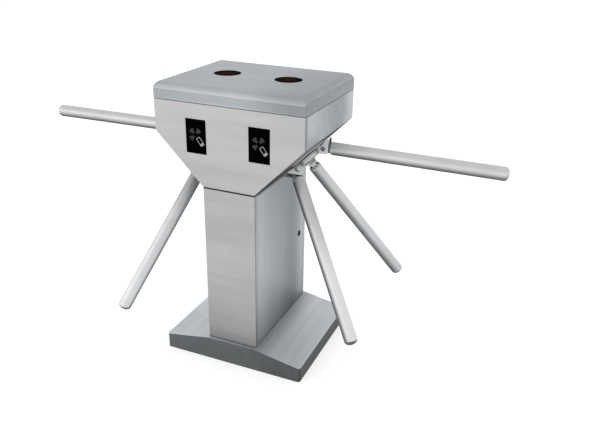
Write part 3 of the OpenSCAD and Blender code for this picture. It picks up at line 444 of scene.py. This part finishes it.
def hang_paint(shades):
    """A paint that gives a lower arm its painted light and shade along its length."""
    return lambda n, value: n.product(value, n.curve(n.axes(n.place())[2], *HANG_Z, shades))


PLAIN_WEAR = 0.15
# How much its strength varies with the speckle and with the clouds, and its roughness with the speckle
SPECKLE = 0.08
PLAIN_CLOUDS = 0.06
PLAIN_GLOSS = 0.06


def plain(name, colour, roughness, metallic=0.0, speckle=300.0, depth=0.0001, gloss=1.5):
    """A moulded, coated or cast surface with a fine speckle in colour, gloss and height."""
    n = Nodes(name)
    fine = n.noise(n.coordinates(speckle), 3.0, 0.6)
    cloud = n.noise(n.coordinates(9.0), 3.0, 0.5)
    value = n.total(n.span(fine, 1 - SPECKLE, 1 + SPECKLE), n.span(cloud, -PLAIN_CLOUDS, PLAIN_CLOUDS),
                    n.product(edge_wear_and_highlight(n), PLAIN_WEAR))
    n.link(n.grey(value, colour), n.shader.inputs["Base Color"])
    n.link(n.span(fine, roughness - PLAIN_GLOSS, roughness + PLAIN_GLOSS), n.shader.inputs["Roughness"])
    n.set(Metallic=metallic, IOR=gloss)
    n.bump(fine, depth)
    return n.material


# Place of a lens from the lid's middle, and the radii within and beyond which its lamps show fully and not at all
LENS_X = 0.11
LENS_GLOW_R = 0.02
LENS_DARK_R = 0.032
# Lamps per metre, their strengths in the middle and at the rim, and where in its cell a lamp's middle and rim are
LAMPS_PER_M = 170.0
LAMP_SHADES = (0.09, 0.003)
LAMP_SPAN = (0.15, 0.5)
LENS_RED = (1.0, 0.2, 0.26)
LENS_BLACK = 0.001
LENS_HAZE = (0.6, 1.3)
# So low that the lens stays dark at the shallow angle from which it is seen
LENS_IOR = 1.01


def lens(name, side):
    """Smoked plastic over a ring of unlit red lamps, which show as a dull speckle in the middle."""
    n = Nodes(name)
    x, y, _ = n.axes(n.coordinates(1.0, (-side * LENS_X, 0.0, 0.0)))
    radius = n.math("SQRT", n.total(n.product(x, x), n.product(y, y)))
    glow = n.span(radius, 1.0, 0.0, LENS_GLOW_R, LENS_DARK_R, soft=True)
    cells = n.add("ShaderNodeTexVoronoi", Scale=LAMPS_PER_M)
    n.link(n.place(), cells.inputs["Vector"])
    lamps = n.span(cells.outputs["Distance"], *LAMP_SHADES, *LAMP_SPAN)
    haze = n.span(n.noise(n.coordinates(120.0)), *LENS_HAZE)
    value = n.total(n.product(lamps, glow, haze), LENS_BLACK)
    n.link(n.grey(value, LENS_RED), n.shader.inputs["Base Color"])
    n.link(n.span(haze, 0.25, 0.35, *LENS_HAZE), n.shader.inputs["Roughness"])
    n.set(IOR=LENS_IOR)
    return n.material


def dress(material, *names):
    """Puts a material on the nodes of these names. A name that ends with _ stands for all that start so."""
    for name in names:
        for node in NODES:
            if node == name or (name.endswith("_") and node.startswith(name)):
                slots = NODES[node].data.materials
                slots.clear()
                slots.append(material)


# How stretched the scratches are along X, Y and Z, and two tints of the steel; on the head and column the cool one is
# a painted reflection on the faces that look along X
ALONG_X = (6.0, 900.0, 900.0)
ALONG_Y = (900.0, 6.0, 900.0)
ALONG_Z = (700.0, 700.0, 5.0)
EVEN = (400.0, 400.0, 400.0)
COOL = (0.97, 1.0, 1.02)
WARM = (1.0, 0.98, 0.97)


def add_materials():
    dress(brushed("head_steel", ALONG_X, 0.555, tint=WARM, side_light_tint=COOL, dark=0.16, streak=0.03,
                  paint=head_paint), "head_shell")
    dress(brushed("column_steel", ALONG_X, 0.52, tint=WARM, side_light_tint=COOL, streak=0.035,
                  paint=column_paint), "column_shell")
    dress(brushed("panel_steel", ALONG_Z, 0.55, tint=COOL, paint=column_paint), "service_panel")
    dress(brushed("plinth_steel", ALONG_Y, 0.58, tint=COOL, streak=0.05, paint=plinth_paint), "plinth_cover")
    dress(brushed("root_steel", EVEN, 0.66, 0.4, dark=0.12, depth=0.00003, crevice_shade=0.05), "arm_root_")
    dress(brushed("hub_alloy", EVEN, 0.78, 0.4, dark=0.25, depth=0.00005, crevice_shade=0.03), "hub_right", "hub_left")
    dress(brushed("ring_steel", ALONG_Y, 0.72, 0.35, dark=0.85, crevice_shade=0.3), "cover_rings")
    dress(brushed("pin_steel", EVEN, 0.66, 0.28, dark=0.3, crevice_shade=0.03), "pivot_pins_")
    dress(brushed("bright_steel", EVEN, 0.6, 0.28, dark=0.3), "hub_shaft_", "frame_fasteners",
          "pawl_plunger_", "latch_bolt", "shaft_bearings")
    dress(brushed("hinge_steel", ALONG_X, 0.5, 0.35), "lid_hinge_fixed_leaves", "lid_hinge_moving_leaves")
    dress(plain("floor_zinc", (0.4, 0.41, 0.42), 0.55, 0.7), "base_plate")
    dress(plain("mechanism_coat", (0.1, 0.11, 0.12), 0.55, 0.2), "mechanism_frame_")
    dress(plain("housing_iron", (0.07, 0.07, 0.075), 0.6, 0.5, 200.0, 0.0004), "bearing_housing_")
    dress(plain("wheel_brass", (0.62, 0.45, 0.2), 0.35, 1.0), "lock_wheel_", "lock_pawl_", "index_lever_")
    dress(plain("spring_steel", (0.12, 0.12, 0.13), 0.4, 0.9), "index_springs")
    dress(plain("coil_plastic", (0.02, 0.02, 0.022), 0.5), "solenoids", "position_sensors",
          "rotary_dampers", "cable_gland", "latch_guides")
    dress(plain("board_green", (0.012, 0.09, 0.035), 0.4), "control_board")
    dress(plain("cup_plastic", (0.03, 0.03, 0.032), 0.5), "light_boards")
    dress(plain("supply_case", (0.5, 0.51, 0.52), 0.4, 0.9), "power_supply")
    dress(plain("reader_case", (0.03, 0.03, 0.033), 0.55), "reader_modules")
    dress(plain("reader_glass", (0.0008, 0.0008, 0.001), 0.3, gloss=1.04), "reader_window_")
    dress(lens("lens_right", 1), "indicator_lens_right")
    dress(lens("lens_left", -1), "indicator_lens_left")
    dress(plain("cam_zinc", (0.3, 0.3, 0.31), 0.3, 1.0), "lock_cam")
    dress(plain("lock_black", (0.006, 0.006, 0.006), 0.4, gloss=1.1), "lock_barrel", "lock_plug")


# Edges that turn more than this are drawn sharp
SHARP_ANGLE = math.radians(35)
ARC_STEPS = 14
CORNER_STEPS = 5


def arc(centre, radius, start, end, steps=ARC_STEPS):
    """Points round a centre, from one angle to another in degrees."""
    return [(centre[0] + radius * math.cos(math.radians(start + (end - start) * i / steps)),
             centre[1] + radius * math.sin(math.radians(start + (end - start) * i / steps)))
            for i in range(steps + 1)]


def rounded_rectangle(width, height, corner):
    """Corners of an upright rectangle with rounded corners, about the origin."""
    points = []
    for sx, sy, start in ((1, 1, 0), (-1, 1, 90), (-1, -1, 180), (1, -1, 270)):
        centre = (sx * (width / 2 - corner), sy * (height / 2 - corner))
        points += arc(centre, corner, start, start + 90, CORNER_STEPS)
    return points


def band(bm, low, high):
    """Quads between two closed rings of as many corners."""
    for i in range(len(low)):
        j = (i + 1) % len(low)
        bm.faces.new((low[i], low[j], high[j], high[i]))


def fill(bm, *loops):
    """Flat triangles inside the first ring and outside the others."""
    edges = []
    for loop in loops:
        for a, b in zip(loop, loop[1:] + loop[:1]):
            edges.append(bm.edges.get((a, b)) or bm.edges.new((a, b)))
    bmesh.ops.triangle_fill(bm, use_beauty=True, edges=edges)


def finished(bm, name, *materials):
    """The mesh as an object in the scene, with its sharp edges marked."""
    bmesh.ops.recalc_face_normals(bm, faces=bm.faces)
    for edge in bm.edges:
        edge.smooth = edge.calc_face_angle() < SHARP_ANGLE
    mesh = bpy.data.meshes.new(name)
    bm.to_mesh(mesh)
    bm.free()
    for material in materials:
        mesh.materials.append(material)
    piece = bpy.data.objects.new(name, mesh)
    bpy.context.scene.collection.objects.link(piece)
    return piece


# The arm tubes with their full domed ends, in place of the plainer solids
DOME_H = 0.014
TUBE_WALL = 0.0015
TUBE_SIDES = 64
DOME_STEPS = 14


def tube_axis(node, pin):
    """A tube's direction from its pin, its start and end along that, and its radius."""
    mesh = NODES[node].data
    area = sum(p.area for p in mesh.polygons)
    middle = sum((p.center * p.area for p in mesh.polygons), Vector()) / area
    along = (middle - pin).normalized()
    reach = [(v.co - pin).dot(along) for v in mesh.vertices]
    radius = max((v.co - pin - along * r).length for v, r in zip(mesh.vertices, reach))
    return along, min(reach), max(reach), radius


def tube_profile(start, end, radius):
    """(distance, radius) from the inner end of the bore, round the open end, to the tip of the dome."""
    bore = radius - TUBE_WALL
    profile = [(end - DOME_H, bore), (start, bore), (start, radius)]
    for i in range(DOME_STEPS):
        turn = math.pi / 2 * i / DOME_STEPS
        profile.append((end - DOME_H + DOME_H * math.sin(turn), radius * math.cos(turn)))
    return profile


def add_tube(node, joint, material):
    """Turns one arm tube about its axis and lets it stand for its node."""
    pin = Vector(joint["pos_m"])
    along, start, end, radius = tube_axis(node, pin)
    u = along.orthogonal().normalized()
    v = along.cross(u)
    bm = bmesh.new()
    rings = []
    turns = [2 * math.pi * i / TUBE_SIDES for i in range(TUBE_SIDES)]
    for distance, r in tube_profile(start, end, radius):
        middle = pin + along * distance
        rings.append([bm.verts.new(middle + (u * math.cos(t) + v * math.sin(t)) * r) for t in turns])
    for low, high in zip(rings, rings[1:]):
        band(bm, low, high)
    for face in bm.faces:
        face.smooth = True
    bm.faces.new(rings[0])
    tip = bm.verts.new(pin + along * end)
    for i in range(TUBE_SIDES):
        bm.faces.new((rings[-1][i], rings[-1][(i + 1) % TUBE_SIDES], tip)).smooth = True
    piece = finished(bm, "domed_" + node, material)
    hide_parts(node)
    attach(piece, joint["child"])


# For each arm its strength, painted to the light that falls on it at rest, that of its painted underside shade, the
# normal's Z where that shade is fullest and where it ends (a steep arm's shade starts sooner) and its paint
ARMS = {
    "arm_right_1": (0.61, 0.24, (-0.8, 0.1), arm_highlight_paint),
    "arm_right_2": (0.75, 0.22, (0.0, 0.42), hang_paint(FRONT_HANG)),
    "arm_right_3": (0.7, 0.34, (-0.6, 0.15), hang_paint(REAR_HANG)),
    "arm_left_1": (0.57, 0.21, (-0.85, 0.05), arm_highlight_paint),
    "arm_left_2": (0.73, 0.21, (-0.5, 0.1), hang_paint(LEFT_HANG)),
    "arm_left_3": (0.75, 0.21, (-0.3, 0.32), None),
}


def add_tubes():
    for joint in frame["joints"]:
        arm = joint["child"]
        if arm in ARMS:
            colour, dark, reach, paint = ARMS[arm]
            # A copy of the steel for each arm, painted to the light and shade that fall on it
            steel = brushed(arm + "_steel", EVEN, colour, 0.42, metallic=0.45, dark=dark, reach=reach, depth=0.00002,
                            paint=paint)
            add_tube(arm.replace("arm_", "arm_tube_"), joint, steel)


# The lid's own mesh, in metres: its upper edges roll wider than the CAD's, as in the photograph
LID_HALF_X = 0.261
LID_HALF_Y = 0.213
LID_BOTTOM_Z = 0.9272
LID_TOP_Z = 0.98
LID_ROLL_R = 0.024
LID_WALL = 0.002
LID_CORNER_R = 0.006
LID_ROLL_STEPS = 24
LENS_HOLE_R = 0.0455
HOLE_STEPS = 72
# The keeper hangs inside the front: its two faces, its outline in Y and Z under the roll, and the bolt's hole
KEEPER_X = (0.014, 0.017)
KEEPER_SIDE = ((-0.201, 0.8908), (-0.181, 0.8908), (-0.181, 0.9785), (-0.189, 0.9785), (-0.196, 0.9765),
               (-0.201, 0.975))
KEEPER_HOLE = (-0.191, 0.9008)
KEEPER_HOLE_R = 0.0055


def lid_rings(bm, inset, radius, corner):
    """Rings from the lid's lower edge, up the skirt and round the roll, for its outer or its inner face."""
    rows = [(inset, LID_BOTTOM_Z)]
    for i in range(LID_ROLL_STEPS + 1):
        turn = math.pi / 2 * i / LID_ROLL_STEPS
        rows.append((inset + radius * (1 - math.cos(turn)), LID_TOP_Z - LID_ROLL_R + radius * math.sin(turn)))
    rings = []
    for a, z in rows:
        outline = rounded_rectangle(2 * (LID_HALF_X - a), 2 * (LID_HALF_Y - a), corner)
        rings.append([bm.verts.new((x, y, z)) for x, y in outline])
    return rings


def add_lid():
    """Pressed lid of one sheet with two lens holes, and the keeper for the latch bolt inside its front."""
    bm = bmesh.new()
    outer = lid_rings(bm, 0.0, LID_ROLL_R, LID_CORNER_R)
    inner = lid_rings(bm, LID_WALL, LID_ROLL_R - LID_WALL, LID_CORNER_R - LID_WALL)
    band(bm, outer[0], inner[0])
    holes = []
    for rings, z in ((outer, LID_TOP_Z), (inner, LID_TOP_Z - LID_WALL)):
        for low, high in zip(rings, rings[1:]):
            band(bm, low, high)
        rims = [arc((side * LENS_X, 0.0), LENS_HOLE_R, 0, 360, HOLE_STEPS)[:-1] for side in (-1, 1)]
        holes.append([[bm.verts.new((x, y, z)) for x, y in rim] for rim in rims])
    for upper, lower in zip(*holes):
        band(bm, upper, lower)
    for face in bm.faces:
        face.smooth = True
    for rings, rims in zip((outer, inner), holes):
        fill(bm, rings[-1], *rims)
    rounds = arc(KEEPER_HOLE, KEEPER_HOLE_R, 0, 360, HOLE_STEPS // 2)[:-1]
    faces = [([bm.verts.new((x, y, z)) for y, z in KEEPER_SIDE], [bm.verts.new((x, y, z)) for y, z in rounds])
             for x in KEEPER_X]
    for low, high in zip(*faces):
        band(bm, low, high)
    for outline, hole in faces:
        fill(bm, outline, hole)
    steel = brushed("lid_steel", ALONG_X, 0.43, 0.45, tint=(0.95, 1.0, 1.02), paint=lid_paint)
    piece = finished(bm, "rolled_lid", steel)
    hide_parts("lid_shell")
    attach(piece, "lid")


# The card symbol on each window: places in millimetres from the window's middle, X to the right and Z up
SYMBOL_DEEP = 0.0002
SYMBOL_PROUD = 0.00012
WAVE_CENTRE = (-1.0, 5.0)
WAVE_RADII = (9.0, 15.0, 21.0)
WAVE_TURNS = (50.0, 135.0, 220.0)
WAVE_SWEEP = 46.0
WAVE_WIDTH = 2.4
CARD_CENTRE = (15.5, -15.0)
CARD_SIZE = (15.0, 30.0)
CARD_TURN = 36.0
CARD_CORNER = 3.0
CARD_LINE = 2.2


def symbol_strips():
    """Bands of (outer points, inner points, ring or not, which print), in millimetres."""
    strips = []
    for turn in WAVE_TURNS:
        for radius in WAVE_RADII:
            span = (turn - WAVE_SWEEP / 2, turn + WAVE_SWEEP / 2)
            strips.append((arc(WAVE_CENTRE, radius + WAVE_WIDTH / 2, *span),
                           arc(WAVE_CENTRE, radius - WAVE_WIDTH / 2, *span), False, 0))
    outer = rounded_rectangle(*CARD_SIZE, CARD_CORNER)
    inner = rounded_rectangle(CARD_SIZE[0] - 2 * CARD_LINE, CARD_SIZE[1] - 2 * CARD_LINE, CARD_CORNER - CARD_LINE / 2)
    turn = math.radians(CARD_TURN)

    def placed(points):
        return [(CARD_CENTRE[0] + x * math.cos(turn) - y * math.sin(turn),
                 CARD_CENTRE[1] + x * math.sin(turn) + y * math.cos(turn)) for x, y in points]

    strips.append((placed(outer), placed(inner), True, 1))
    edge = CARD_SIZE[0] / 2 - CARD_LINE
    stripe = CARD_SIZE[1] / 2 - CARD_LINE
    strips.append((placed([(-edge, -stripe), (edge, -stripe)]),
                   placed([(-edge, -stripe / 2), (edge, -stripe / 2)]), False, 1))
    return strips


def add_symbol(name, window, materials):
    """Prints the card symbol on a window as a thin raised layer."""
    low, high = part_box(window)
    middle_x = (low[0] + high[0]) / 2
    middle_z = (low[2] + high[2]) / 2
    front = low[1]
    bm = bmesh.new()
    for outer, inner, ring, material_index in symbol_strips():
        rows = []
        for points in (outer, inner):
            for y in (front - SYMBOL_PROUD, front + SYMBOL_DEEP):
                rows.append([bm.verts.new((middle_x + x / 1000, y, middle_z + z / 1000)) for x, z in points])
        outer_top, outer_low, inner_top, inner_low = rows
        faces = []
        for i in range(len(outer) if ring else len(outer) - 1):
            j = (i + 1) % len(outer)
            faces += [(outer_top[i], outer_top[j], inner_top[j], inner_top[i]),
                      (outer_low[j], outer_low[i], inner_low[i], inner_low[j]),
                      (outer_low[i], outer_low[j], outer_top[j], outer_top[i]),
                      (inner_low[j], inner_low[i], inner_top[i], inner_top[j])]
        if not ring:
            faces += [(outer_top[k], inner_top[k], inner_low[k], outer_low[k]) for k in (0, -1)]
        for corners in faces:
            bm.faces.new(corners).material_index = material_index
    piece = finished(bm, name, *materials)
    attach(piece, "frame")


def add_symbols():
    prints = (plain("wave_print", (0.13, 0.13, 0.135), 0.5, gloss=1.2),
              plain("card_print", (0.4, 0.4, 0.41), 0.5, gloss=1.2))
    for side in ("left", "right"):
        add_symbol("card_symbol_" + side, "reader_window_" + side, prints)


# One wide soft lamp from the front left, in metres and watts
KEY_PLACE = Vector((-2.4, -3.0, 2.0))
KEY_AIM = Vector((0.0, 0.0, 0.6))
KEY_SIZE = 3.2
KEY_POWER = 25.0


def add_key_light():
    data = bpy.data.lights.new("key", "AREA")
    data.shape = "RECTANGLE"
    data.size = data.size_y = KEY_SIZE
    data.energy = KEY_POWER
    light = bpy.data.objects.new("key", data)
    light.location = KEY_PLACE
    light.rotation_euler = (KEY_AIM - KEY_PLACE).to_track_quat("-Z", "Y").to_euler()
    bpy.context.scene.collection.objects.link(light)


def backdrop_rays(tree):
    """1 on the rays by which the camera, metal and glass see the backdrop."""
    path = tree.nodes.new("ShaderNodeLightPath")
    total = path.outputs["Is Camera Ray"]
    for kind in ("Is Glossy Ray", "Is Transmission Ray"):
        node = tree.nodes.new("ShaderNodeMath")
        node.operation = "MAXIMUM"
        tree.links.new(total, node.inputs[0])
        tree.links.new(path.outputs[kind], node.inputs[1])
        total = node.outputs["Value"]
    return total


# The room's light, and the floor's glow, grey, size and place just below the plinth, in metres
WORLD_LIGHT = 0.85
WORLD_TINT = (0.94, 0.97, 1.0, 1.0)
FLOOR_GLOW = 0.55
FLOOR_GREY = 0.7
FLOOR_SIZE = 120.0
FLOOR_Z = -0.0005


def add_stage():
    """A plain white room: white to the camera and in reflections, with soft light from all round."""
    world = bpy.data.worlds.new("studio")
    bpy.context.scene.world = world
    world.use_nodes = True
    tree = world.node_tree
    background = tree.nodes["Background"]
    background.inputs["Color"].default_value = WORLD_TINT
    background.inputs["Strength"].default_value = WORLD_LIGHT
    white = tree.nodes.new("ShaderNodeBackground")
    white.inputs["Color"].default_value = (1.0, 1.0, 1.0, 1.0)
    mix = tree.nodes.new("ShaderNodeMixShader")
    tree.links.new(backdrop_rays(tree), mix.inputs["Fac"])
    tree.links.new(background.outputs["Background"], mix.inputs[1])
    tree.links.new(white.outputs["Background"], mix.inputs[2])
    tree.links.new(mix.outputs["Shader"], tree.nodes["World Output"].inputs["Surface"])

    bpy.ops.mesh.primitive_plane_add(size=FLOOR_SIZE, location=(0, 0, FLOOR_Z))
    floor = bpy.context.object
    floor.name = "floor"
    n = Nodes("floor_white")
    n.set(Base_Color=(FLOOR_GREY, FLOOR_GREY, FLOOR_GREY, 1.0), Roughness=0.9, Specular_IOR_Level=0.0)
    glow = n.add("ShaderNodeEmission", Strength=FLOOR_GLOW)
    shown = n.add("ShaderNodeAddShader")
    both = n.add("ShaderNodeMixShader")
    n.link(n.shader.outputs["BSDF"], shown.inputs[0])
    n.link(glow.outputs["Emission"], shown.inputs[1])
    n.link(backdrop_rays(n.tree), both.inputs["Fac"])
    n.link(n.shader.outputs["BSDF"], both.inputs[1])
    n.link(shown.outputs["Shader"], both.inputs[2])
    n.link(both.outputs["Shader"], n.tree.nodes["Material Output"].inputs["Surface"])
    floor.data.materials.append(n.material)


add_camera()
add_materials()
add_tubes()
add_lid()
add_symbols()
add_stage()
add_key_light()
bpy.context.scene.view_settings.view_transform = "Standard"
